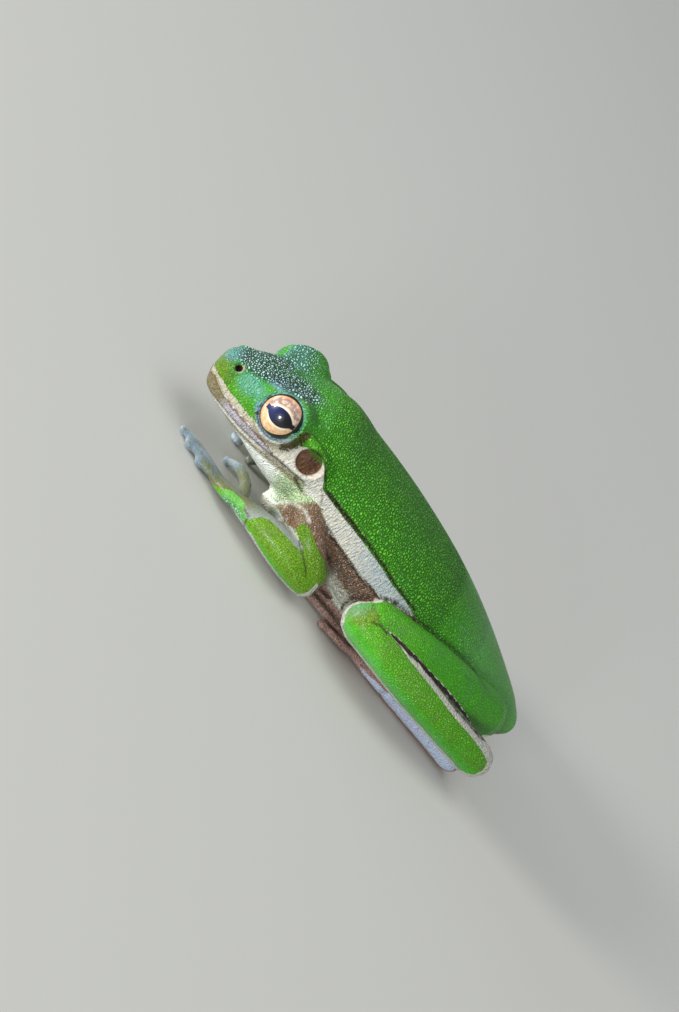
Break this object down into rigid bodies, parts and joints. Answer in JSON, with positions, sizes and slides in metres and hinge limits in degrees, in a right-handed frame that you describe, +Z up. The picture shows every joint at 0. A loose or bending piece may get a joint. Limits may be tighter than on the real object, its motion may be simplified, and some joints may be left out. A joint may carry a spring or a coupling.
{
  "type": "green tree frog",
  "caption": "Still life-size model of a green tree frog crouched with folded legs, resting flat on its belly, hands and feet",
  "frame": {"origin": "middle of the footprint, on the surface that the frog rests on", "axes": "the snout points to -Y, the frog's left side to +X, +Z up"},
  "size_m": [0.031, 0.0542, 0.0147],
  "materials": {
    "skin": "moist fine-grained skin, green back over a cream side stripe and brown flank",
    "throat": "moist pearly cream throat skin with fine grains",
    "digits": "moist translucent grey-lilac skin with fine grains",
    "tympanum": "taut brown eardrum",
    "eye": "wet gloss over a pinkish gold iris and black pupil"
  },
  "bodies": {
    "root": {"torso": "skin", "head": "skin", "jaw": "throat", "eye_left": "eye", "tympanum_left": "tympanum", "upper_arm_left": "skin", "forearm_left": "skin", "hand_left": "digits", "thigh_left": "skin", "shank_left": "skin", "tarsus_left": "skin", "foot_left": "digits", "eye_right": "eye", "tympanum_right": "tympanum", "upper_arm_right": "skin", "forearm_right": "skin", "hand_right": "digits", "thigh_right": "skin", "shank_right": "skin", "tarsus_right": "skin", "foot_right": "digits"}
  },
  "joints": []
}
